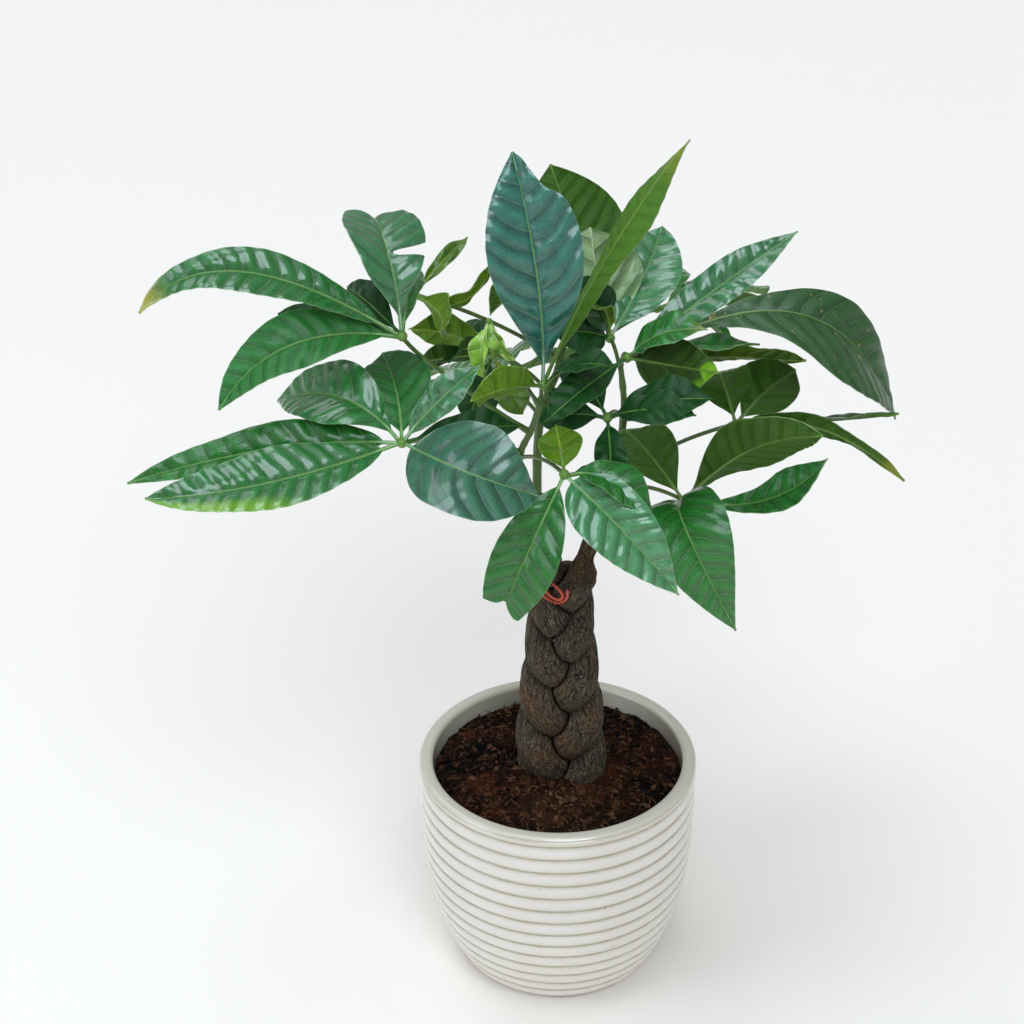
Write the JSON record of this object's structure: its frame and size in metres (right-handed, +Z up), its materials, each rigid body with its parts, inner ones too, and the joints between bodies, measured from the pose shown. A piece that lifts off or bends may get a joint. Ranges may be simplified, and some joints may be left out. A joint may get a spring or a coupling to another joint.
{
  "type": "potted money tree",
  "caption": "Young money tree with a plaited trunk and palmate leaves, standing in soil in a round ribbed ceramic pot.",
  "frame": {"origin": "middle of the pot's flat underside", "axes": "+Z up along the pot's axis, front of the plant towards -Y"},
  "size_m": [0.3788, 0.303, 0.4803],
  "materials": {
    "glaze": "gloss",
    "soil": "matt",
    "bark": "matt",
    "shoot": "satin",
    "leaf": "gloss",
    "young_leaf": "satin",
    "wire": "satin"
  },
  "bodies": {
    "root": {"pot": "glaze", "soil": "soil", "trunk_middle": "bark", "trunk_left": "bark", "trunk_right": "bark", "wire_tie": "wire", "shoot_leader": "shoot", "shoot_back": "shoot", "shoot_right": "shoot", "leaf_upper_left": "leaf", "leaf_left": "leaf", "leaf_top": "leaf", "leaf_young": "young_leaf", "leaf_front": "leaf", "leaf_right_low": "leaf", "leaf_right": "leaf", "leaf_upper_right": "leaf", "leaf_crown": "leaf", "leaf_inner_left": "young_leaf", "leaf_middle_left": "leaf", "leaf_middle": "leaf", "leaf_back_left": "leaf", "leaf_back_right": "leaf", "leaf_back": "leaf"}
  },
  "joints": []
}
